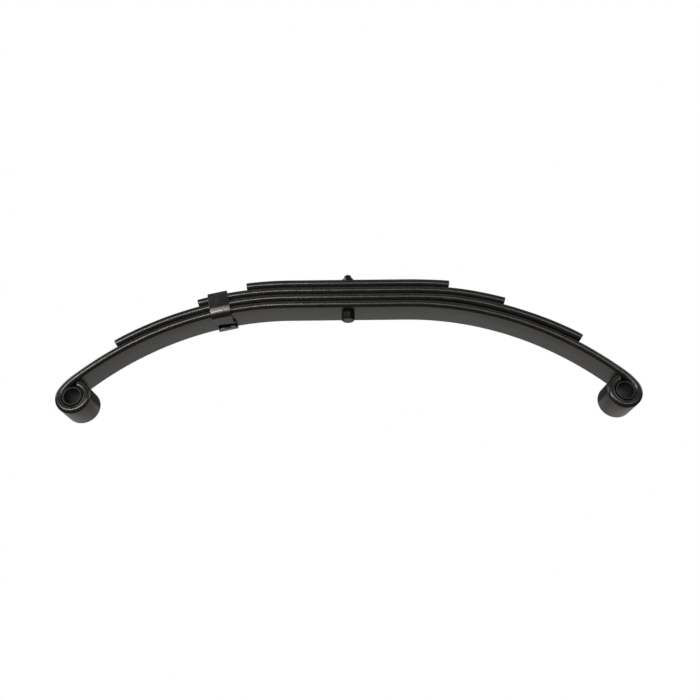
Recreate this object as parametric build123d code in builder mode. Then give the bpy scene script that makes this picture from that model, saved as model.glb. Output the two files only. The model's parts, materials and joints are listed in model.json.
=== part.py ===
from build123d import *

import os
from math import acos, asin, atan2, cos, degrees, hypot, radians, sin, sqrt

# A four-leaf, double-eye trailer spring, in millimetres. It stands on its two eyes
# with the arch upwards: X runs along the spring, Y across the leaves, and the
# origin is on the ground midway between the eyes.

# Driving dimensions
eye_spacing = 641.35  # 25-1/4 in from eye centre to eye centre
leaf_width = 44.45  # 1-3/4 in stock
leaf_thickness = 9.3
leaf_film = 0.15  # paint and scale between two leaves
edge_crown = 2.6  # how far the rolled edge bulges past the flat of the bar
arch_height = 112.0  # eye centres to the concave face of the main leaf
flat_half_length = 72.0  # straight seat on each side of the centre bolt
bend_ease = 1.017  # leaf radius over the radius that would run straight into the eye
eye_lead_radius = 53.0  # tighter bend that leads into the eye
eye_bore = 22.4
eye_tip_gap = 0.8  # between the rolled tip and the leaf above it
leaf_tip_break = 1.0

second_leaf_reach = 278.5  # centre to tip, measured along X
third_leaf_reach = 187.5
third_leaf_shift = 4.0  # its bolt hole is this far off the middle, so the plain end reaches on
fourth_leaf_reach = 125.0

bolt_diameter = 9.525  # 3/8 in
bolt_hole_clearance = 0.4  # on the radius
hexagon_across_flats = 14.29  # 9/16 in
bolt_head_height = 9.4
nut_height = 10.0
bolt_tail = 5.2  # thread that stands past the nut
thread_clearance = 0.05  # on the radius, between nut and bolt
hexagon_chamfer = 1.0
head_turn = -10.0  # degrees that the head's flats are off the leaf's edges
nut_turn = 14.0

clip_position = 154.0  # left of the centre bolt, along X
clip_width = 24.0
clip_thickness = 3.2
clip_side_gap = 0.4
clip_tab_gap = 0.25
clip_bend_radius = 6.8
clip_near_tab = 25.0  # how far each end is folded under the main leaf
clip_far_tab = 14.0
rivet_diameter = 6.0
rivet_clearance = 0.05
rivet_head_diameter = 11.5
rivet_head_height = 3.2
rivet_flare = 1.6  # depth of the countersunk foot in the third leaf

bushing_bore = 19.05  # 3/4 in
bushing_length = 44.0
bushing_clearance = 0.05  # on the radius, in the eye
bushing_chamfer = 0.5

# Sizes that follow from them
half_spacing = eye_spacing / 2
eye_radius = eye_bore / 2
eye_height = eye_radius + leaf_thickness
leaf_pitch = leaf_thickness + leaf_film
main_low = eye_height + arch_height
stack_top = main_low + 3 * leaf_pitch + leaf_thickness

# The leaf is flat, then one long arc, then the tighter lead, then the eye, each
# arc tangent to the next. Places are (outward from the centre bolt, height).
direct_radius = ((half_spacing - flat_half_length) ** 2 + arch_height**2 - eye_radius**2) / (
    2 * (arch_height - eye_radius)
)
leaf_radius = bend_ease * direct_radius
arc_centre = (flat_half_length, main_low - leaf_radius)
eye_centre = (half_spacing, eye_height)


def distance(a, b):
    return hypot(b[0] - a[0], b[1] - a[1])


def slope(a, b):
    """Angle of the line from a to b, outward from straight up, in radians."""
    return atan2(b[0] - a[0], b[1] - a[1])


to_lead = leaf_radius - eye_lead_radius
lead_to_eye = eye_lead_radius - eye_radius
arc_to_eye = distance(arc_centre, eye_centre)
lead_turn = acos((to_lead**2 + arc_to_eye**2 - lead_to_eye**2) / (2 * to_lead * arc_to_eye))
lead_start = slope(arc_centre, eye_centre) - lead_turn
lead_centre = (
    arc_centre[0] + to_lead * sin(lead_start),
    arc_centre[1] + to_lead * cos(lead_start),
)
eye_start = slope(lead_centre, eye_centre)


def tip_angle(centre, radius):
    """Angle round the eye at which its outside comes within the gap of a leaf arc."""
    outside = eye_radius + leaf_thickness
    reach = distance(centre, eye_centre)
    bend = acos(((radius - eye_tip_gap) ** 2 - reach**2 - outside**2) / (2 * reach * outside))
    return slope(centre, eye_centre) + radians(360) - bend


eye_end = min(tip_angle(arc_centre, leaf_radius), tip_angle(lead_centre, eye_lead_radius))


def arc_plane(centre, angle, side=1):
    """Plane across the leaf: its x is Y, and its y points away from the arc's centre.

    The side is 1 for the right half of the spring and -1 for the left.
    """
    origin = (side * centre[0], 0, centre[1])
    return Plane(origin=origin, x_dir=(0, 1, 0), z_dir=(cos(angle), 0, -side * sin(angle)))


def leaf_section(plane, low):
    """Rolled bar with crowned edges, its concave face at height low in the plane."""
    flat = leaf_width / 2 - edge_crown
    high = low + leaf_thickness
    middle = low + leaf_thickness / 2
    with BuildSketch(plane) as section:
        with BuildLine():
            Line((-flat, low), (flat, low))
            ThreePointArc((flat, low), (leaf_width / 2, middle), (flat, high))
            Line((flat, high), (-flat, high))
            ThreePointArc((-flat, high), (-leaf_width / 2, middle), (-flat, low))
        make_face()
    return section.sketch


def bend(centre, radius, start, end):
    """Adds one arc of a leaf, between two angles from straight up."""
    axis = Axis((centre[0], 0, centre[1]), (0, 1, 0))
    section = leaf_section(arc_plane(centre, start), radius)
    revolve(section, axis=axis, revolution_arc=degrees(end - start))


def bolt_hole():
    with Locations((0, 0, stack_top)):
        Hole(radius=bolt_diameter / 2 + bolt_hole_clearance)


def outer_arm(number, reach):
    """One arm of a shorter leaf, to the right; number 1 lies on the main leaf."""
    radius = leaf_radius + number * leaf_pitch
    tip = asin((reach - flat_half_length) / (radius + leaf_thickness / 2))
    with BuildPart(mode=Mode.PRIVATE) as arm:
        extrude(leaf_section(Plane.YZ, main_low + number * leaf_pitch), amount=flat_half_length)
        bend(arc_centre, radius, 0, tip)
        end = faces().filter_by(GeomType.PLANE).sort_by(Axis.X)[-1]
        chamfer(end.edges(), leaf_tip_break)
    return arm.part


def outer_leaf(number, reach, shift=0.0):
    """Adds a shorter leaf; the shift lengthens its right arm and shortens its left."""
    add(outer_arm(number, reach + shift))
    add(mirror(outer_arm(number, reach - shift), about=Plane.YZ, mode=Mode.PRIVATE))
    bolt_hole()


with BuildPart() as main_leaf:
    extrude(leaf_section(Plane.YZ, main_low), amount=flat_half_length)
    bend(arc_centre, leaf_radius, 0, lead_start)
    bend(lead_centre, eye_lead_radius, lead_start, eye_start)
    bend(eye_centre, eye_radius, eye_start, eye_end)
    mirror(about=Plane.YZ)
    bolt_hole()

with BuildPart() as second_leaf:
    outer_leaf(1, second_leaf_reach)

# The clip lies across the left arm. Its rivet stands on the arc's radius, with its
# countersunk foot flush in the underside of the third leaf and its head on the strap.
clip_angle = asin((clip_position - flat_half_length) / leaf_radius)
clip_half_turn = clip_width / 2 / leaf_radius
clip_axis = Axis((-arc_centre[0], 0, arc_centre[1]), (0, 1, 0))
third_low = leaf_radius + 2 * leaf_pitch
strap_low = third_low + leaf_thickness + leaf_film
rivet_grip = strap_low + clip_thickness - third_low
rivet_foot = (
    -arc_centre[0] - third_low * sin(clip_angle),
    0,
    arc_centre[1] + third_low * cos(clip_angle),
)
rivet_axis = Axis(rivet_foot, (-sin(clip_angle), 0, cos(clip_angle)))
rivet_plane = Plane(
    origin=rivet_foot, x_dir=(cos(clip_angle), 0, sin(clip_angle)), z_dir=(0, -1, 0)
)


def rivet_hole():
    """Cuts the shank's hole, countersunk for its foot."""
    radius = rivet_diameter / 2 + rivet_clearance
    flare = rivet_flare + leaf_film
    foot = Plane(origin=rivet_foot, x_dir=(0, 1, 0), z_dir=rivet_axis.direction)
    with BuildSketch(foot.offset(-leaf_film)) as shank:
        Circle(radius)
    extrude(shank.sketch, amount=rivet_grip + 2 * leaf_film, mode=Mode.SUBTRACT)
    with Locations(foot.offset(flare / 2 - leaf_film)):
        Cone(radius + flare, radius, flare, mode=Mode.SUBTRACT)


with BuildPart() as third_leaf:
    outer_leaf(2, third_leaf_reach, third_leaf_shift)
    rivet_hole()

with BuildPart() as fourth_leaf:
    outer_leaf(3, fourth_leaf_reach)


def hexagon(low, height, turn):
    """Adds a hexagon with both ends turned, its flats turned so far off the leaf's edges."""
    corner = hexagon_across_flats / 2 / cos(radians(30))
    flat = hexagon_across_flats / 2 * 0.97
    high = low + height
    with BuildSketch(Plane.XY.offset(low)) as flats:
        RegularPolygon(hexagon_across_flats / 2, 6, major_radius=False, rotation=turn)
    extrude(flats.sketch, amount=height)
    with BuildSketch(Plane.XZ) as turned:
        with BuildLine():
            Polyline(
                (0, low),
                (flat, low),
                (corner, low + hexagon_chamfer),
                (corner, high - hexagon_chamfer),
                (flat, high),
                (0, high),
                close=True,
            )
        make_face()
    revolve(turned.sketch, axis=Axis.Z, mode=Mode.INTERSECT)


# The bolt goes up through the pack: its deep head locates the axle seat under the
# main leaf, and the nut clamps the four leaves from above.
with BuildPart() as center_bolt:
    hexagon(main_low - bolt_head_height, bolt_head_height, head_turn)
    with BuildSketch(Plane.XY.offset(main_low)):
        Circle(bolt_diameter / 2)
    extrude(amount=stack_top + nut_height + bolt_tail - main_low)
    chamfer(faces().sort_by(Axis.Z)[-1].edges(), hexagon_chamfer)

with BuildPart() as center_nut:
    hexagon(stack_top, nut_height, nut_turn)
    with Locations((0, 0, stack_top + nut_height)):
        Hole(radius=bolt_diameter / 2 + thread_clearance)

# The clip is a strap bent round the lowest three leaves, open under the main leaf.
with BuildPart() as rebound_clip:
    inside_low = leaf_radius - clip_tab_gap
    inside_width = leaf_width + 2 * clip_side_gap
    inside_height = strap_low - inside_low
    inside_middle = (strap_low + inside_low) / 2
    opening = leaf_width - clip_near_tab - clip_far_tab
    opening_middle = (clip_near_tab - clip_far_tab) / 2
    strap_plane = arc_plane(arc_centre, clip_angle + clip_half_turn, -1)
    with BuildSketch(strap_plane) as strap:
        with Locations((0, inside_middle)):
            RectangleRounded(
                inside_width + 2 * clip_thickness,
                inside_height + 2 * clip_thickness,
                clip_bend_radius,
            )
            RectangleRounded(
                inside_width,
                inside_height,
                clip_bend_radius - clip_thickness,
                mode=Mode.SUBTRACT,
            )
        with Locations((opening_middle, inside_low)):
            Rectangle(opening, 3 * clip_thickness, mode=Mode.SUBTRACT)
    revolve(strap.sketch, axis=clip_axis, revolution_arc=degrees(2 * clip_half_turn))
    rivet_hole()

with BuildPart() as clip_rivet:
    with BuildSketch(rivet_plane) as profile:
        shank = rivet_diameter / 2
        head = rivet_head_diameter / 2
        head_top = rivet_grip + rivet_head_height
        dome = (head**2 + rivet_head_height**2) / (2 * rivet_head_height)
        with BuildLine():
            Polyline(
                (0, head_top),
                (0, 0),
                (shank + rivet_flare, 0),
                (shank, rivet_flare),
                (shank, rivet_grip),
                (head, rivet_grip),
            )
            ThreePointArc(
                (head, rivet_grip),
                (head / 2, head_top - dome + sqrt(dome**2 - head**2 / 4)),
                (0, head_top),
            )
        make_face()
    revolve(axis=rivet_axis)


def bushing(side):
    """Adds the plain sleeve that lines one eye."""
    centre = (side * half_spacing, 0, eye_height)
    with BuildSketch(Plane(origin=centre, x_dir=(1, 0, 0), z_dir=(0, 1, 0))) as ring:
        Circle(eye_radius - bushing_clearance)
        Circle(bushing_bore / 2, mode=Mode.SUBTRACT)
    extrude(ring.sketch, amount=bushing_length / 2, both=True)
    chamfer(edges().filter_by(GeomType.CIRCLE), bushing_chamfer)


with BuildPart() as left_bushing:
    bushing(-1)

with BuildPart() as right_bushing:
    bushing(1)

pieces = {
    "main_leaf": main_leaf,
    "second_leaf": second_leaf,
    "third_leaf": third_leaf,
    "fourth_leaf": fourth_leaf,
    "center_bolt": center_bolt,
    "center_nut": center_nut,
    "rebound_clip": rebound_clip,
    "clip_rivet": clip_rivet,
    "left_bushing": left_bushing,
    "right_bushing": right_bushing,
}
os.makedirs("parts", exist_ok=True)
for name, piece in pieces.items():
    piece.part.label = name
    export_step(piece.part, f"parts/{name}.step")
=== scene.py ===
import json
from math import acos, asin, atan2, cos, degrees, hypot, pi, radians, sin

import bmesh
import bpy
from mathutils import Matrix, Vector


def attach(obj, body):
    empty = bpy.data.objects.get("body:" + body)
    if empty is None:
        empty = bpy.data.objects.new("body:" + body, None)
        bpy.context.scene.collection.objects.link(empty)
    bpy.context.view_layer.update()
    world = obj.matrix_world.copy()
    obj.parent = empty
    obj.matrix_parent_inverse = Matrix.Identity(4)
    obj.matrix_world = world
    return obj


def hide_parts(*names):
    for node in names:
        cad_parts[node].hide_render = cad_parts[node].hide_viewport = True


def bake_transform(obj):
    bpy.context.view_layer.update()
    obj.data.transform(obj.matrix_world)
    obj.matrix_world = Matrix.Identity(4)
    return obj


# A four-leaf, double-eye trailer spring in metres, standing on its eyes with the arch up.
# X runs along the spring, Y across the leaves, and the origin is on the ground between the eyes.

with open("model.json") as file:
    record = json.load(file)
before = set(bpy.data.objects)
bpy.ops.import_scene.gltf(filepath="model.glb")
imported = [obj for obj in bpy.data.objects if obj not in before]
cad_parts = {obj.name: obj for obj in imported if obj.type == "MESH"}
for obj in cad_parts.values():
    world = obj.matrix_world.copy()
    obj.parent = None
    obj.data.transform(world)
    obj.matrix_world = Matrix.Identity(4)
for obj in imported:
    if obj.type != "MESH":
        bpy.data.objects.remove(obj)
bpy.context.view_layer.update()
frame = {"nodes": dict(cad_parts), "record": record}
print("frame loaded:", len(frame["nodes"]), "nodes")

mounts = {mount["name"]: mount for mount in frame["record"]["mounts"]}


class Wire:
    # A shader socket that adds Math nodes when it is used in an expression.
    def __init__(self, bench, socket):
        self.bench = bench
        self.socket = socket

    def math(self, operation, *others, clamp=False):
        values = dict(enumerate((self,) + others))
        settings = {"operation": operation, "use_clamp": clamp}
        return self.bench.add("ShaderNodeMath", settings, values)

    def __add__(self, other):
        return self.math("ADD", other)

    def __mul__(self, other):
        return self.math("MULTIPLY", other)

    def __sub__(self, other):
        return self.math("SUBTRACT", other)

    def __rsub__(self, other):
        values = {0: other, 1: self}
        return self.bench.add("ShaderNodeMath", {"operation": "SUBTRACT"}, values)

    def __abs__(self):
        return self.math("ABSOLUTE")

    __radd__ = __add__
    __rmul__ = __mul__

    def clamped(self):
        return self.math("ADD", 0.0, clamp=True)

    def step(self, low, high):
        # A smooth rise from 0 at low to 1 at high.
        values = {"Value": self, "From Min": low, "From Max": high, "To Min": 0.0, "To Max": 1.0}
        return self.bench.add("ShaderNodeMapRange", {"interpolation_type": "SMOOTHSTEP"}, values)


class PaintBench:
    # Adds nodes to the tree of a new material, or of the world.
    def __init__(self, owner):
        self.owner = owner
        owner.use_nodes = True
        self.tree = owner.node_tree

    def add(self, kind, settings=None, values=None, output=0):
        node = self.tree.nodes.new(kind)
        for key, value in (settings or {}).items():
            setattr(node, key, value)
        for key, value in (values or {}).items():
            self.feed(node.inputs[key], value)
        return Wire(self, node.outputs[output])

    def feed(self, socket, value):
        if isinstance(value, Wire):
            self.tree.links.new(value.socket, socket)
        elif isinstance(value, tuple) and len(value) == 3 and socket.type == "RGBA":
            socket.default_value = (*value, 1.0)
        else:
            socket.default_value = value

    def mix(self, factor, low, high):
        return self.add("ShaderNodeMix", {"data_type": "RGBA"}, {0: factor, 6: low, 7: high}, 2)

    def stretch(self, place, scale, shift=(0, 0, 0)):
        scaled = self.add("ShaderNodeVectorMath", {"operation": "MULTIPLY"}, {0: place, 1: scale})
        return self.add("ShaderNodeVectorMath", {"operation": "ADD"}, {0: scaled, 1: shift})

    def noise(self, place, scale, detail=4.0, rough=0.55):
        values = {"Vector": place, "Scale": scale, "Detail": detail, "Roughness": rough}
        return self.add("ShaderNodeTexNoise", {}, values)

    def split(self, place):
        first = self.add("ShaderNodeSeparateXYZ", {}, {0: place})
        return [Wire(self, output) for output in first.socket.node.outputs]

    def bump(self, height, strength, distance, under=None):
        values = {"Height": height, "Strength": strength, "Distance": distance}
        if under:
            values["Normal"] = under
        return self.add("ShaderNodeBump", {}, values)

    def show(self, shade, outputNode):
        self.feed(self.tree.nodes[outputNode].inputs["Surface"], shade)

    def finish(self, **values):
        # Sets the main shader and hands the material over.
        shader = self.tree.nodes["Principled BSDF"]
        for name, value in values.items():
            socketName = {
                "colour": "Base Color",
                "roughness": "Roughness",
                "metallic": "Metallic",
                "ior": "IOR",
                "normal": "Normal",
            }[name]
            self.feed(shader.inputs[socketName], value)
        return self.owner


leafFinish = {
    "paint": (0.0125, 0.0122, 0.0112),
    "thin": (0.026, 0.0255, 0.0238),  # where the paint is thin over the rolled edges
    "scale": (0.0085, 0.0083, 0.0078),
    "dust": (0.060, 0.056, 0.048),
    "roughness": 0.23,
    "ior": 1.46,
    "halfWidth": 0.02222,
    "edgeRub": (0.0042, 0.0004),  # in from the side, where the rubbing starts and is full
    # pattern repeats in one metre
    "cloud": 16.0,
    "mill": 240.0,
    "streak": 900.0,
    "peel": 1500.0,
    "pits": 620.0,
    "specks": 420.0,
    "mottle": 380.0,
    # bump strength and height
    "relief": (0.30, 0.00022),
    "skin": (0.10, 0.00008),
}


def paintLeaf():
    finish = leafFinish
    bench = PaintBench(bpy.data.materials.new("leafPaint"))
    # x runs along the leaf from the centre bolt, y across it, z through it
    place = bench.add("ShaderNodeAttribute", {"attribute_name": "leafSpace"}, output=1)
    across = abs(bench.split(place)[1])
    edge = across.step(*(finish["halfWidth"] - inset for inset in finish["edgeRub"]))

    # each pattern is drawn out along the leaf and shifted off the others
    cloudy = bench.stretch(place, (1.0, 3.0, 3.0))
    milled = bench.stretch(place, (0.35, 1.6, 1.6), (3.1, 0.4, 0.2))
    streaky = bench.stretch(place, (0.03, 1.0, 1.0), (0.7, 0.1, 0.9))
    pitted = bench.stretch(place, (0.8, 1.0, 1.0), (9.0, 2.0, 1.0))
    cloud = bench.noise(cloudy, finish["cloud"], 5.0)
    mill = bench.noise(milled, finish["mill"], 4.0, 0.6)
    streak = bench.noise(streaky, finish["streak"], 3.0, 0.7)
    peel = bench.noise(place, finish["peel"], 2.0, 0.5)
    pits = bench.noise(pitted, finish["pits"], 3.0, 0.65)
    mottle = bench.noise(place, finish["mottle"], 3.0, 0.6)
    specks = {"Vector": place, "Scale": finish["specks"]}
    speck = bench.add("ShaderNodeTexVoronoi", {"feature": "F1"}, specks)

    worn = (edge * mill.step(0.46, 0.72) * 0.75 + streak.step(0.62, 0.80) * 0.22).clamped()
    scaly = cloud.step(0.44, 0.66)
    dusty = (speck.step(0.16, 0.03) * cloud.step(0.50, 0.70) * 0.30).clamped()
    colour = bench.mix(scaly, finish["paint"], finish["scale"])
    colour = bench.mix(mottle.step(0.52, 0.70) * 0.7, colour, finish["thin"])
    colour = bench.mix(worn, colour, finish["thin"])
    colour = bench.mix(dusty, colour, finish["dust"])

    rough = finish["roughness"] + (mill - 0.5) * 0.16 + scaly * 0.05 - worn * 0.06 + dusty * 0.3
    relief = mill * 0.5 + streak * 0.25 + pits.step(0.30, 0.42) * 0.5
    normal = bench.bump(relief, *finish["relief"])
    normal = bench.bump(peel, *finish["skin"], normal)
    return bench.finish(
        colour=colour, roughness=rough.clamped(), ior=finish["ior"], normal=normal
    )


strapFinish = {
    "paint": (0.0150, 0.0146, 0.0136),
    "thin": (0.040, 0.039, 0.036),
    "wearAndHighlight": (0.30, 0.295, 0.28),  # bare metal and a painted highlight on the outside of the near lower bend
    "bendFrom": 0.0282,  # along the strap from the near tab's end
    "bendTo": 0.0335,
    "bendBlur": 0.002,
    "bendRagged": 0.003,
    "outside": (-0.0008, -0.0012),  # through the strap, where the bare metal and painted highlight start and are full
    "roughness": 0.27,
    "ior": 1.46,
    # pattern repeats in one metre
    "cloud": 60.0,
    "grain": 700.0,
    "peel": 1800.0,
    # bump strength and height
    "relief": (0.18, 0.00022),
    "skin": (0.10, 0.00008),
}


def paintStrap():
    finish = strapFinish
    bench = PaintBench(bpy.data.materials.new("strapPaint"))
    place = bench.add("ShaderNodeTexCoord", output=3)
    strip = bench.add("ShaderNodeAttribute", {"attribute_name": "leafSpace"}, output=1)
    along, _, through = bench.split(strip)
    cloud = bench.noise(place, finish["cloud"], 4.0)
    grain = bench.noise(bench.stretch(place, (1.0, 0.25, 0.6)), finish["grain"], 4.0, 0.6)
    peel = bench.noise(place, finish["peel"], 2.0)
    thin = (cloud.step(0.50, 0.68) * grain.step(0.42, 0.62) * 0.6).clamped()
    start, end, blur = finish["bendFrom"], finish["bendTo"], finish["bendBlur"]
    ragged = along + (grain - 0.5) * finish["bendRagged"]
    bend = ragged.step(start - blur, start + blur) * ragged.step(end + blur, end - blur)
    # painted highlight: a bright, partly metallic band of bare metal on the outside of the near
    # lower bend, placed and brightened to stand in for the bend's highlight
    wearAndHighlight = (bend * through.step(*finish["outside"]) * grain.step(0.22, 0.52)).clamped()
    colour = bench.mix(thin, finish["paint"], finish["thin"])
    colour = bench.mix(wearAndHighlight * 0.9, colour, finish["wearAndHighlight"])
    rough = finish["roughness"] + (grain - 0.5) * 0.14 + thin * 0.06 + wearAndHighlight * 0.20
    normal = bench.bump(grain * 0.7 + cloud * 0.6, *finish["relief"])
    normal = bench.bump(peel, *finish["skin"], normal)
    return bench.finish(
        colour=colour,
        roughness=rough.clamped(),
        metallic=wearAndHighlight * 0.7,
        ior=finish["ior"],
        normal=normal,
    )


fastenerFinish = {
    "paint": (0.0070, 0.0068, 0.0064),
    "bright": (0.032, 0.031, 0.028),
    "oxide": (0.022, 0.013, 0.008),
    "roughness": 0.27,
    "ior": 1.46,
    # pattern repeats in one metre
    "cloud": 160.0,
    "grain": 900.0,
    "forging": 420.0,
    "relief": (0.22, 0.00018),  # bump strength and height
}


def paintFastener():
    finish = fastenerFinish
    bench = PaintBench(bpy.data.materials.new("fastenerPaint"))
    place = bench.add("ShaderNodeTexCoord", output=3)
    cloud = bench.noise(place, finish["cloud"], 4.0)
    grain = bench.noise(bench.stretch(place, (1.0, 1.0, 0.4)), finish["grain"], 4.0, 0.65)
    forged = bench.noise(place, finish["forging"], 3.0, 0.5)
    rub = (grain.step(0.56, 0.74) * 0.35).clamped()
    rust = (cloud.step(0.60, 0.74) * grain.step(0.44, 0.60) * 0.30).clamped()
    colour = bench.mix(rub, finish["paint"], finish["bright"])
    colour = bench.mix(rust, colour, finish["oxide"])
    rough = finish["roughness"] + (forged - 0.5) * 0.16 + rust * 0.25
    normal = bench.bump(forged * 0.8 + grain * 0.3, *finish["relief"])
    return bench.finish(
        colour=colour, roughness=rough.clamped(), ior=finish["ior"], normal=normal
    )


nylonFinish = {
    "black": (0.0045, 0.0045, 0.0048),
    "chalky": (0.012, 0.012, 0.012),
    "roughness": 0.60,
    "ior": 1.5,
    # pattern repeats in one metre
    "cloud": 220.0,
    "fine": 2600.0,
    "turning": 1200.0,
    "relief": (0.18, 0.0001),  # bump strength and height
}


def mouldNylon():
    finish = nylonFinish
    bench = PaintBench(bpy.data.materials.new("bushingNylon"))
    place = bench.add("ShaderNodeTexCoord", output=3)
    cloud = bench.noise(place, finish["cloud"], 4.0)
    fine = bench.noise(place, finish["fine"], 2.0, 0.6)
    turned = bench.noise(bench.stretch(place, (1.0, 0.12, 1.0)), finish["turning"], 3.0, 0.6)
    chalk = (cloud.step(0.50, 0.70) * 0.5 + turned.step(0.60, 0.75) * 0.25).clamped()
    colour = bench.mix(chalk, finish["black"], finish["chalky"])
    rough = finish["roughness"] + (fine - 0.5) * 0.12 + chalk * 0.12
    normal = bench.bump(fine * 0.5 + turned * 0.5, *finish["relief"])
    return bench.finish(
        colour=colour, roughness=rough.clamped(), ior=finish["ior"], normal=normal
    )


leafPaint = paintLeaf()
strapPaint = paintStrap()
fastenerPaint = paintFastener()
bushingNylon = mouldNylon()
print("materials ready")


crownCuts = 9  # mesh steps round a rolled edge


def barSection(bm, middle, width, depth, acrossAxis, upAxis, rounding, steps, crown=0.0):
    # One rounded bar section; leafSpace keeps each vertex's place across and through the bar.
    bmesh.ops.create_grid(bm, x_segments=1, y_segments=1, size=0.5)
    bmesh.ops.scale(bm, vec=(width - 2 * crown, depth, 1), verts=bm.verts[:])
    bmesh.ops.bevel(
        bm,
        geom=bm.verts[:],
        offset=rounding,
        offset_type="OFFSET",
        segments=steps,
        profile=0.5,
        affect="VERTICES",
        material=-1,
    )
    if crown:
        # the rolled edge bulges as one arc between the two broad faces
        sides = [edge for edge in bm.edges if edge.calc_length() > depth - 2.2 * rounding]
        sides = [edge for edge in sides if abs(edge.verts[0].co.x - edge.verts[1].co.x) < 1e-6]
        for edge in sides:
            bmesh.ops.subdivide_edges(bm, edges=[edge], cuts=crownCuts)
        bulge = (depth**2 / 4 + crown**2) / (2 * crown)
        for vert in bm.verts:
            if abs(vert.co.x) > width / 2 - crown - rounding * 1.01:
                push = (bulge**2 - vert.co.y**2) ** 0.5 - (bulge - crown)
                near = (abs(vert.co.x) - (width / 2 - crown - rounding)) / rounding
                vert.co.x += (1 if vert.co.x > 0 else -1) * push * min(max(near, 0.0), 1.0)
    face = bm.faces[:][0]
    run = bm.verts.layers.float_vector.new("leafSpace")
    for vert in face.verts:
        vert[run] = Vector((0.0, vert.co.x, vert.co.y))
    turn = Matrix((acrossAxis, upAxis, Vector(acrossAxis).cross(Vector(upAxis)))).transposed()
    bmesh.ops.rotate(bm, cent=(0, 0, 0), matrix=turn, verts=bm.verts[:])
    bmesh.ops.translate(bm, vec=middle, verts=bm.verts[:])
    return face, run


def setRun(face, run, distance):
    for vert in face.verts:
        old = vert[run]
        vert[run] = Vector((distance, old.y, old.z))


def pushStraight(bm, face, run, direction, length, steps, start):
    # Extrudes the bar's end face in equal steps and returns the new end and its distance.
    for step in range(steps):
        made = bmesh.ops.extrude_face_region(bm, geom=[face])["geom"]
        verts = [item for item in made if isinstance(item, bmesh.types.BMVert)]
        face = [item for item in made if isinstance(item, bmesh.types.BMFace)][0]
        bmesh.ops.translate(bm, vec=Vector(direction) * length / steps, verts=verts)
        start += length / steps
        setRun(face, run, start)
    return face, start


def swingRound(bm, face, run, centre, axis, angle, steps, length, start):
    # Spins the bar's end face about an axis in equal steps.
    for step in range(steps):
        made = bmesh.ops.spin(
            bm,
            geom=[face],
            cent=centre,
            axis=axis,
            dvec=(0, 0, 0),
            angle=angle / steps,
            steps=1,
            use_merge=False,
            use_duplicate=False,
        )["geom_last"]
        face = [item for item in made if isinstance(item, bmesh.types.BMFace)][0]
        start += length / steps
        setRun(face, run, start)
    return face, start


def softenLoop(bm, face, offset, steps=3):
    bmesh.ops.bevel(
        bm,
        geom=list(face.edges),
        offset=offset,
        offset_type="OFFSET",
        segments=steps,
        profile=0.5,
        affect="EDGES",
        material=-1,
    )


def finishPiece(bm, name, paint, sharpAngle=35.0):
    # Makes the object at the origin, normals outward, smooth but for its sharp edges.
    bmesh.ops.remove_doubles(bm, verts=bm.verts[:], dist=1e-7)
    bmesh.ops.recalc_face_normals(bm, faces=bm.faces[:])
    for face in bm.faces:
        face.smooth = True
    for edge in bm.edges:
        edge.smooth = len(edge.link_faces) == 2 and edge.calc_face_angle(0) < radians(sharpAngle)
    mesh = bpy.data.meshes.new(name)
    bm.to_mesh(mesh)
    bm.free()
    mesh.materials.append(paint)
    piece = bpy.data.objects.new(name, mesh)
    bpy.context.scene.collection.objects.link(piece)
    return piece


leafStock = {
    "width": 0.04445,
    "thickness": 0.0093,
    "film": 0.00015,
    "edgeCrown": 0.0026,
    "edgeRound": 0.0013,
    "edgeSteps": 5,
    "archHeight": 0.112,  # eye centres to the concave face
    "flatHalf": 0.072,
    "bendEase": 1.017,
    "leadRadius": 0.053,
    "eyeRadius": 0.0112,
    "tipGap": 0.0008,
    "tipSoften": 0.0009,
    "flatSteps": 4,
    "arcStep": 0.006,  # length of one mesh step along the arms
    "turnStep": 6.0,  # and its most degrees
    # the upper leaves stand off the main one on the plain arm: from, to, height
    "standOff": ((0.085, 0.140, 0.0011), (0.200, 0.280, 0.0006)),
    "reach": {  # left and right
        "second_leaf": (0.2785, 0.2785),
        "third_leaf": (0.1835, 0.1915),
        "fourth_leaf": (0.125, 0.125),
    },
}


def springLines(stock, eyeCentre):
    # The concave line of the main leaf as arcs: centre, radius, start and end from straight up.
    eyeX, eyeZ = eyeCentre
    rise, flat, eye = stock["archHeight"], stock["flatHalf"], stock["eyeRadius"]
    direct = ((eyeX - flat) ** 2 + rise**2 - eye**2) / (2 * (rise - eye))
    radius = stock["bendEase"] * direct
    low = eyeZ + rise
    arc = Vector((flat, low - radius))
    eyeAt = Vector((eyeX, eyeZ))
    toLead, leadToEye = radius - stock["leadRadius"], stock["leadRadius"] - eye
    span = (eyeAt - arc).length
    turn = acos((toLead**2 + span**2 - leadToEye**2) / (2 * toLead * span))
    leadStart = atan2(*(eyeAt - arc)) - turn
    lead = arc + toLead * Vector((sin(leadStart), cos(leadStart)))
    eyeStart = atan2(*(eyeAt - lead))

    def tipAngle(centre, size):
        outside, reach = eye + stock["thickness"], (eyeAt - centre).length
        near = ((size - stock["tipGap"]) ** 2 - reach**2 - outside**2) / (2 * reach * outside)
        return atan2(*(eyeAt - centre)) + 2 * pi - acos(near)

    eyeEnd = min(tipAngle(arc, radius), tipAngle(lead, stock["leadRadius"]))
    return {
        "low": low,
        "arc": (arc, radius, 0.0, leadStart),
        "lead": (lead, stock["leadRadius"], leadStart, eyeStart),
        "eye": (eyeAt, eye, eyeStart, eyeEnd),
    }


eyePlace = Vector(mounts["right_eye_bore"]["pos_m"])
lines = springLines(leafStock, (eyePlace.x, eyePlace.z))
pitch = leafStock["thickness"] + leafStock["film"]


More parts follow.
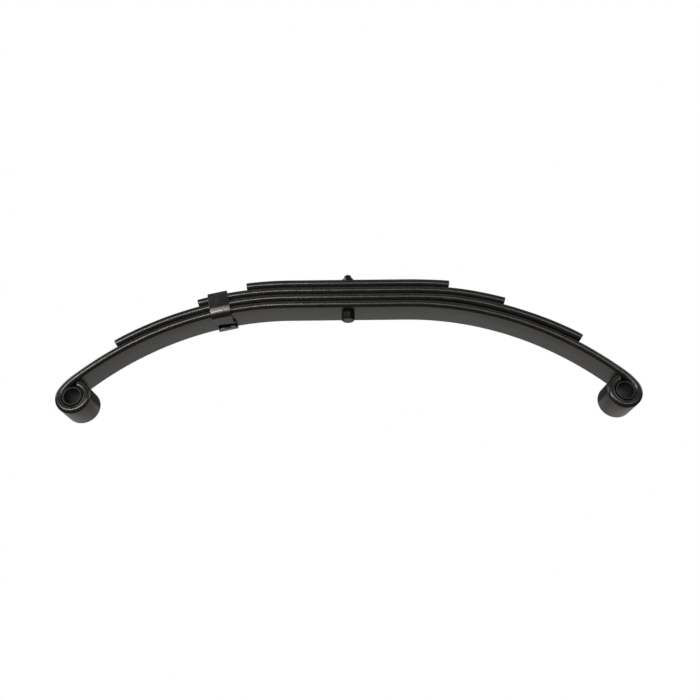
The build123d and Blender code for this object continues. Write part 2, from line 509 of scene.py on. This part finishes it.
def bendArm(name, node, number, side):
    # Half of one leaf, from the centre line out to its tip or round its eye.
    stock = leafStock
    bm = bmesh.new()
    low = lines["low"] + number * pitch
    middle = (0, 0, low + stock["thickness"] / 2)
    face, run = barSection(
        bm,
        middle,
        stock["width"],
        stock["thickness"],
        (0, 1, 0),
        (0, 0, 1),
        stock["edgeRound"],
        stock["edgeSteps"],
        stock["edgeCrown"],
    )
    face, far = pushStraight(bm, face, run, (1, 0, 0), stock["flatHalf"], stock["flatSteps"], 0.0)
    if number:
        centre, radius, start, _ = lines["arc"]
        radius += number * pitch
        mid = radius + stock["thickness"] / 2
        reach = stock["reach"][node][side > 0]
        stretches = [(centre, radius, 0.0, asin((reach - centre.x) / mid))]
    else:
        stretches = [lines["arc"], lines["lead"], lines["eye"]]
    for centre, radius, start, end in stretches:
        length = (radius + stock["thickness"] / 2) * (end - start)
        turnSteps = round(degrees(end - start) / stock["turnStep"])
        steps = max(round(length / stock["arcStep"]), turnSteps)
        face, far = swingRound(
            bm, face, run, (centre.x, 0, centre.y), (0, 1, 0), end - start, steps, length, far
        )
    softenLoop(bm, face, stock["tipSoften"])
    if number and side > 0:
        arcCentre = Vector((lines["arc"][0].x, 0, lines["arc"][0].y))
        for vert in bm.verts:
            outward = (vert.co - arcCentre) * Vector((1, 0, 1))
            for near, far, height in stock["standOff"]:
                part = min(max((vert.co.x - near) / (far - near), 0.0), 1.0)
                vert.co += outward.normalized() * height * part**2 * (3 - 2 * part)
    if side < 0:
        bmesh.ops.scale(bm, vec=(-1, 1, 1), verts=bm.verts[:])
    # each leaf reads its own part of the paint's patterns
    for vert in bm.verts:
        old = vert[run]
        vert[run] = Vector((side * old.x + 2.0 * number, old.y, old.z + 0.05 * number))
    piece = finishPiece(bm, name, leafPaint)
    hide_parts(node)
    bendWithArm(piece)


def bendWithArm(piece):
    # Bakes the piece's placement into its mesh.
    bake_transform(piece)


for number, node in enumerate(("main_leaf", "second_leaf", "third_leaf", "fourth_leaf")):
    for side, word in ((-1, "left"), (1, "right")):
        bendArm(f"{node}_{word}_arm", node, number, side)
print("leaves bent")


clipStrap = {
    "position": 0.154,
    "width": 0.024,
    "thickness": 0.0032,
    "sideGap": 0.0004,
    "tabGap": 0.00025,
    "bend": 0.0082,
    "nearTab": 0.025,
    "farTab": 0.014,
    "springBack": 14.0,  # degrees that the far tab stays open
    "shear": 0.16,  # slope of the near tab's cut end
    "skew": 0.0030,  # the far leg leans toward the middle of the spring
    "tabCorner": 0.0042,
    "cornerTurn": 84.0,
    "cornerSteps": 7,
    "edgeRound": 0.0007,
    "edgeSteps": 3,
    "tipSoften": 0.0006,
    "bendSteps": 10,
    "openBendSteps": 9,
    "legSteps": 4,
    "topSteps": 6,
    "farTabSteps": 3,
}


def clipPlace():
    # Carries local x along the leaf, y across it and z outward from the concave face.
    centre, radius = lines["arc"][0], lines["arc"][1]
    angle = asin((clipStrap["position"] - centre.x) / radius)
    origin = (-centre.x - radius * sin(angle), 0, centre.y + radius * cos(angle))
    return Matrix.Translation(origin) @ Matrix.Rotation(-angle, 4, "Y")


def roundTab(bm, face, run, direction, far):
    # The last of the far tab, narrowed in steps round its two corners.
    corner, half = clipStrap["tabCorner"], clipStrap["width"] / 2
    whole, steps = radians(clipStrap["cornerTurn"]), clipStrap["cornerSteps"]
    for step in range(steps):
        turn, before = (whole * (i / steps) for i in (step + 1, step))
        length = corner * (sin(turn) - sin(before))
        face, far = pushStraight(bm, face, run, direction, length, 1, far)
        narrow = (half - corner * (1 - cos(turn))) / (half - corner * (1 - cos(before)))
        bmesh.ops.scale(bm, vec=(narrow, 1, 1), verts=face.verts[:])
    return face, far


def foldStrap():
    strap = clipStrap
    bm = bmesh.new()
    half = leafStock["width"] / 2
    depth = strap["thickness"]
    inner = strap["bend"] - depth
    top = 3 * pitch
    bendY = half + strap["sideGap"] - inner
    bendLow, bendHigh = inner - strap["tabGap"], top - inner
    start = -half + strap["nearTab"]
    face, run = barSection(
        bm,
        (0, start, -strap["tabGap"] - depth / 2),
        strap["width"],
        depth,
        (1, 0, 0),
        (0, 0, 1),
        strap["edgeRound"],
        strap["edgeSteps"],
    )
    firstVerts = list(face.verts)
    arc = (inner + depth / 2) * pi / 2
    far = 0.0
    axis, square, leg = (-1, 0, 0), pi / 2, bendHigh - bendLow
    legs, bends, tops = strap["legSteps"], strap["bendSteps"], strap["topSteps"]
    face, far = pushStraight(bm, face, run, (0, -1, 0), start + bendY, legs, far)
    face, far = swingRound(bm, face, run, (0, -bendY, bendLow), axis, square, bends, arc, far)
    face, far = pushStraight(bm, face, run, (0, 0, 1), leg, legs, far)
    face, far = swingRound(bm, face, run, (0, -bendY, bendHigh), axis, square, bends, arc, far)
    face, far = pushStraight(bm, face, run, (0, 1, 0), 2 * bendY, tops, far)
    face, far = swingRound(bm, face, run, (0, bendY, bendHigh), axis, square, bends, arc, far)
    face, far = pushStraight(bm, face, run, (0, 0, -1), leg, legs, far)
    openBy = radians(strap["springBack"])
    turn, bends = square - openBy, strap["openBendSteps"]
    face, far = swingRound(bm, face, run, (0, bendY, bendLow), axis, turn, bends, arc, far)
    tab = strap["farTab"] - (half - bendY) - strap["tabCorner"]
    direction = (0, -cos(openBy), -sin(openBy))
    face, far = pushStraight(bm, face, run, direction, tab, strap["farTabSteps"], far)
    face, far = roundTab(bm, face, run, direction, far)
    for vert in firstVerts:
        vert.co.y += strap["shear"] * vert.co.x
    for vert in bm.verts:
        down = (top - vert.co.z) / top if vert.co.y > 0 else 0.0
        vert.co.x += strap["skew"] * min(max(down, 0.0), 1.0)
    firstFace = [f for f in firstVerts[0].link_faces if all(v in firstVerts for v in f.verts)][0]
    softenLoop(bm, face, strap["tipSoften"], 2)
    softenLoop(bm, firstFace, strap["tipSoften"], 2)
    bm.transform(clipPlace())
    piece = finishPiece(bm, "rebound_clip_strap", strapPaint)
    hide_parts("rebound_clip")
    bendWithArm(piece)


rivetHead = {
    "radius": 0.00575,
    "height": 0.0032,
    "flange": 0.0004,
    "sink": 0.0001,  # set into the strap
    "around": 40,
    "rings": 24,
}


def setRivet():
    size = rivetHead
    bm = bmesh.new()
    base = 3 * pitch + clipStrap["thickness"] - size["sink"]
    bmesh.ops.create_uvsphere(
        bm, u_segments=size["around"], v_segments=size["rings"], radius=1.0
    )
    cut = bmesh.ops.bisect_plane(
        bm,
        geom=bm.verts[:] + bm.edges[:] + bm.faces[:],
        plane_co=(0, 0, 0),
        plane_no=(0, 0, 1),
        clear_inner=True,
    )["geom_cut"]
    rim = [item for item in cut if isinstance(item, bmesh.types.BMEdge)]
    skirt = bmesh.ops.extrude_edge_only(bm, edges=rim)["geom"]
    skirtVerts = [item for item in skirt if isinstance(item, bmesh.types.BMVert)]
    bmesh.ops.translate(bm, vec=(0, 0, -size["flange"] / size["height"]), verts=skirtVerts)
    bmesh.ops.holes_fill(bm, edges=bm.edges[:], sides=0)
    bmesh.ops.scale(bm, vec=(size["radius"], size["radius"], size["height"]), verts=bm.verts[:])
    bmesh.ops.translate(bm, vec=(0, 0, base + size["flange"]), verts=bm.verts[:])
    bm.transform(clipPlace())
    piece = finishPiece(bm, "clip_rivet_head", strapPaint)
    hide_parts("clip_rivet")
    bendWithArm(piece)


foldStrap()
setRivet()
print("clip folded")


centreBolt = {
    "acrossFlats": 0.01429,
    "headHeight": 0.0094,
    "headTurn": -10.0,
    "nutHeight": 0.0100,
    "nutTurn": 14.0,
    "diameter": 0.009525,
    "tail": 0.0052,
    "threadPitch": 0.00106,
    "threadDepth": 0.00062,
    "pointChamfer": 0.0008,
    "faceRadius": 0.00685,  # turned face inside the corners
    "cornerSlope": 0.6,
    "hexagonSteps": 96,
    "threadSteps": 48,
    # one tooth: share of the pitch, and whether it is at the crest
    "tooth": ((0.0, False), (0.12, False), (0.44, True), (0.56, True), (0.88, False)),
    "pointSoften": 0.0004,
    "mouthOver": 0.0005,  # the nut's countersink past the bolt, under it and down
    "mouthUnder": 0.0003,
    "mouthDepth": 0.0009,
}
stackTop = lines["low"] + 3 * pitch + leafStock["thickness"]


def hexagonRadius(angle, acrossFlats, turn):
    # Distance from the axis to the flat, with a corner at the turn.
    sector = (angle - radians(turn)) % (pi / 3) - pi / 6
    return acrossFlats / 2 / cos(sector)


def turnHexagon(bm, low, high, turn, bothEnds):
    # A hexagon with turned ends: the corners drop away outside the round face.
    size = centreBolt
    middle = (low + high) / 2
    made = bmesh.ops.create_cone(
        bm,
        cap_ends=True,
        cap_tris=False,
        segments=size["hexagonSteps"],
        radius1=1.0,
        radius2=1.0,
        depth=high - low,
    )["verts"]
    halfStep = Matrix.Rotation(pi / size["hexagonSteps"], 3, "Z")
    bmesh.ops.rotate(bm, cent=(0, 0, 0), matrix=halfStep, verts=made)
    bmesh.ops.translate(bm, vec=(0, 0, middle), verts=made)
    for cap in [face for face in bm.faces if len(face.verts) > 8]:
        bmesh.ops.inset_region(bm, faces=[cap], thickness=0.2, use_even_offset=False)
    for vert in bm.verts:
        angle = atan2(vert.co.y, vert.co.x)
        inner = hypot(vert.co.x, vert.co.y) < 0.9
        outline = hexagonRadius(angle, size["acrossFlats"], turn)
        radius = size["faceRadius"] if inner else outline
        vert.co.x, vert.co.y = radius * cos(angle), radius * sin(angle)
        drop = (radius - size["faceRadius"]) * size["cornerSlope"]
        if vert.co.z < middle:
            vert.co.z += drop
        elif bothEnds:
            vert.co.z -= drop


def cutThread(bm, radius, low, high):
    # A zigzag chain, one tooth for each pitch, screwed once round while it climbs one pitch.
    size = centreBolt
    step = size["threadPitch"]
    turns = int((high - low) / step) + 1
    root = radius - size["threadDepth"]
    chain = []
    for tooth in range(turns):
        base = low + tooth * step
        for part, crest in size["tooth"]:
            chain.append(bm.verts.new((radius if crest else root, 0, base + part * step)))
    edges = [bm.edges.new(pair) for pair in zip(chain, chain[1:])]
    steps = size["threadSteps"]
    bmesh.ops.spin(
        bm,
        geom=chain + edges,
        cent=(0, 0, 0),
        axis=(0, 0, 1),
        dvec=(0, 0, step / steps),
        angle=2 * pi,
        steps=steps,
        use_merge=False,
        use_duplicate=False,
    )
    bmesh.ops.remove_doubles(bm, verts=bm.verts[:], dist=2e-6)


def turnBolt():
    size = centreBolt
    bm = bmesh.new()
    head = lines["low"] - size["headHeight"]
    turnHexagon(bm, head, lines["low"], size["headTurn"], False)
    piece = finishPiece(bm, "center_bolt_head", fastenerPaint, 25.0)
    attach(piece, "leaf_pack")
    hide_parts("center_bolt")

    bm = bmesh.new()
    radius = size["diameter"] / 2
    end = stackTop + size["nutHeight"] + size["tail"]
    core = radius - size["threadDepth"] + 0.00002
    rod = bmesh.ops.create_cone(
        bm, cap_ends=True, segments=48, radius1=core, radius2=core, depth=end - lines["low"]
    )["verts"]
    bmesh.ops.translate(bm, vec=(0, 0, (end + lines["low"]) / 2), verts=rod)
    top = [f for f in bm.faces if f.calc_center_median().z > end - 1e-5 and len(f.verts) > 8]
    softenLoop(bm, top[0], size["pointSoften"], 2)
    rodVerts = set(bm.verts)
    threadLow = stackTop + size["nutHeight"] - 2 * size["threadPitch"]
    cutThread(bm, radius, threadLow, end - 2.2 * size["threadPitch"])
    for vert in bm.verts:
        # the point's chamfer takes the last turns down to the core
        room = max(end - size["pointChamfer"] * 0.2 - vert.co.z, 0.0)
        limit = core + room * 0.9
        far = hypot(vert.co.x, vert.co.y)
        if vert not in rodVerts and far > limit:
            vert.co.x *= limit / far
            vert.co.y *= limit / far
    tail = finishPiece(bm, "center_bolt_thread", fastenerPaint, 40.0)
    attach(tail, "leaf_pack")
    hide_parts("center_bolt")


def turnNut():
    size = centreBolt
    bm = bmesh.new()
    low, high = stackTop, stackTop + size["nutHeight"]
    turnHexagon(bm, low, high, size["nutTurn"], True)
    # the countersunk mouth of the thread, sunk in from the turned top face
    top = [f for f in bm.faces if f.calc_center_median().z > high - 1e-5 and len(f.verts) > 8][0]
    radius = size["diameter"] / 2
    rings = ((radius + size["mouthOver"], 0.0), (radius - size["mouthUnder"], size["mouthDepth"]))
    for reach, drop in rings:
        bmesh.ops.inset_region(bm, faces=[top], thickness=0.0001, use_even_offset=False)
        for vert in top.verts:
            flat = Vector((vert.co.x, vert.co.y)).normalized() * reach
            vert.co = (flat.x, flat.y, high - drop)
    piece = finishPiece(bm, "center_nut_hexagon", fastenerPaint, 25.0)
    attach(piece, "leaf_pack")
    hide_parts("center_nut")


turnBolt()
turnNut()
print("bolt and nut turned")


bushingSleeve = {
    "outer": 0.01115,
    "bore": 0.009525,
    "length": 0.044,
    "chamfer": 0.0005,
    "around": 96,
}


def mouldBushing(word):
    size = bushingSleeve
    bm = bmesh.new()
    half = size["length"] / 2
    wall = size["outer"] - size["bore"]
    grid = bmesh.ops.create_grid(bm, x_segments=1, y_segments=1, size=0.5)["verts"]
    bmesh.ops.scale(bm, vec=(wall, size["length"], 1), verts=grid)
    bmesh.ops.bevel(
        bm,
        geom=grid,
        offset=size["chamfer"],
        segments=3,
        profile=0.5,
        affect="VERTICES",
        material=-1,
    )
    bmesh.ops.translate(bm, vec=((size["outer"] + size["bore"]) / 2, 0, 0), verts=bm.verts[:])
    bmesh.ops.delete(bm, geom=bm.faces[:], context="FACES_ONLY")
    bmesh.ops.spin(
        bm,
        geom=bm.verts[:] + bm.edges[:],
        cent=(0, 0, 0),
        axis=(0, 1, 0),
        dvec=(0, 0, 0),
        angle=2 * pi,
        steps=size["around"],
        use_merge=True,
        use_duplicate=False,
    )
    centre = mounts[f"{word}_eye_bore"]["pos_m"]
    bmesh.ops.translate(bm, vec=centre, verts=bm.verts[:])
    piece = finishPiece(bm, f"{word}_bushing_sleeve", bushingNylon, 40.0)
    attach(piece, f"{word}_eye_end")
    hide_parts(f"{word}_bushing")


mouldBushing("left")
mouldBushing("right")
print("bushings moulded")


studio = {
    "floorSize": 12.0,
    "floorTone": (0.80, 0.80, 0.79),
    "floorGlow": 0.50,
    "background": (1.0, 1.0, 1.0),
    "lampTone": (1.0, 0.975, 0.94),
    "fill": (0.07, 0.07, 0.07),
    "cameraPlace": (0.00185, -0.82432, -0.26472),
    "cameraPitch": 22.911,
    "cameraRoll": 0.616,
    "lens": 37.785,
    "sensor": 36.0,
}

# name, place, target, width, height, watts
studioLamps = [
    ("backLow", (0.0, 2.6, -1.65), (0, 0, -1.65), 4.4, 1.5, 14.2),
    ("backHigh", (0.0, 2.6, -0.1), (0, 0, -0.1), 4.4, 1.6, 9.3),
    ("frontLeft", (-0.70, -1.6, 0.05), (-0.1, 0, 0.14), 1.2, 0.30, 21.0),
    ("frontRight", (0.60, -1.6, 0.08), (0.1, 0, 0.14), 1.3, 0.30, 6.5),
    ("overhead", (0.2, -1.0, 2.0), (0, 0, 0.12), 2.2, 1.6, 3.5),
    ("sideLeft", (-2.2, 0.2, 1.4), (0, 0, 0.12), 2.6, 1.6, 40.0),
    ("sideRight", (2.2, 0.2, 1.4), (0, 0, 0.12), 2.6, 1.6, 40.0),
]


def layFloor():
    bm = bmesh.new()
    bmesh.ops.create_grid(bm, x_segments=1, y_segments=1, size=studio["floorSize"] / 2)
    mesh = bpy.data.meshes.new("studio_floor")
    bm.to_mesh(mesh)
    bm.free()
    floor = bpy.data.objects.new("studio_floor", mesh)
    bpy.context.scene.collection.objects.link(floor)
    # pale from above, clear from below, so the spring can be looked at from under the floor
    bench = PaintBench(bpy.data.materials.new("studioFloor"))
    pale = bench.add("ShaderNodeBsdfDiffuse", {}, {"Color": studio["floorTone"]})
    glow = bench.add(
        "ShaderNodeEmission", {}, {"Color": studio["floorTone"], "Strength": studio["floorGlow"]}
    )
    lit = bench.add("ShaderNodeAddShader", {}, {0: pale, 1: glow})
    clear = bench.add("ShaderNodeBsdfTransparent")
    back = bench.add("ShaderNodeNewGeometry", output=6)
    shade = bench.add("ShaderNodeMixShader", {}, {0: back, 1: lit, 2: clear})
    bench.show(shade, "Material Output")
    mesh.materials.append(bench.owner)
    floor.visible_glossy = False
    floor.visible_diffuse = False
    floor.visible_shadow = False
    return floor


def hangLamps(floor):
    for name, place, target, width, height, watts in studioLamps:
        lamp = bpy.data.lights.new(name, "AREA")
        lamp.shape = "RECTANGLE"
        lamp.size, lamp.size_y = width, height
        lamp.energy = watts
        lamp.color = studio["lampTone"]
        holder = bpy.data.objects.new(name, lamp)
        aim = Vector(target) - Vector(place)
        turn = aim.to_track_quat("-Z", "Y").to_matrix().to_4x4()
        holder.matrix_world = Matrix.Translation(place) @ turn
        holder.visible_camera = False
        bpy.context.scene.collection.objects.link(holder)
        if name.startswith(("back", "front")):
            # these lamps cross the floor and would streak it
            skipped = bpy.data.collections.new(name + "Skips")
            skipped.objects.link(floor)
            skipped.collection_objects[0].light_linking.link_state = "EXCLUDE"
            holder.light_linking.receiver_collection = skipped


def lightWorld():
    world = bpy.data.worlds.new("studio")
    bpy.context.scene.world = world
    # white where the camera looks past the spring, and a weak fill for everything else
    bench = PaintBench(world)
    seen = bench.add("ShaderNodeBackground", {}, {"Color": studio["background"]})
    fill = bench.add("ShaderNodeBackground", {}, {"Color": studio["fill"]})
    fromCamera = bench.add("ShaderNodeLightPath")
    either = bench.add("ShaderNodeMixShader", {}, {0: fromCamera, 1: fill, 2: seen})
    bench.show(either, "World Output")


def setCamera():
    data = bpy.data.cameras.new("camera")
    data.sensor_width = studio["sensor"]
    data.lens = studio["lens"]
    camera = bpy.data.objects.new("camera", data)
    pitch = Matrix.Rotation(radians(90 + studio["cameraPitch"]), 4, "X")
    roll = Matrix.Rotation(radians(-studio["cameraRoll"]), 4, "Z")
    camera.matrix_world = Matrix.Translation(studio["cameraPlace"]) @ pitch @ roll
    bpy.context.scene.collection.objects.link(camera)
    bpy.context.scene.camera = camera


floor = layFloor()
hangLamps(floor)
lightWorld()
setCamera()
bpy.context.scene.view_settings.view_transform = "Standard"
print("studio set")
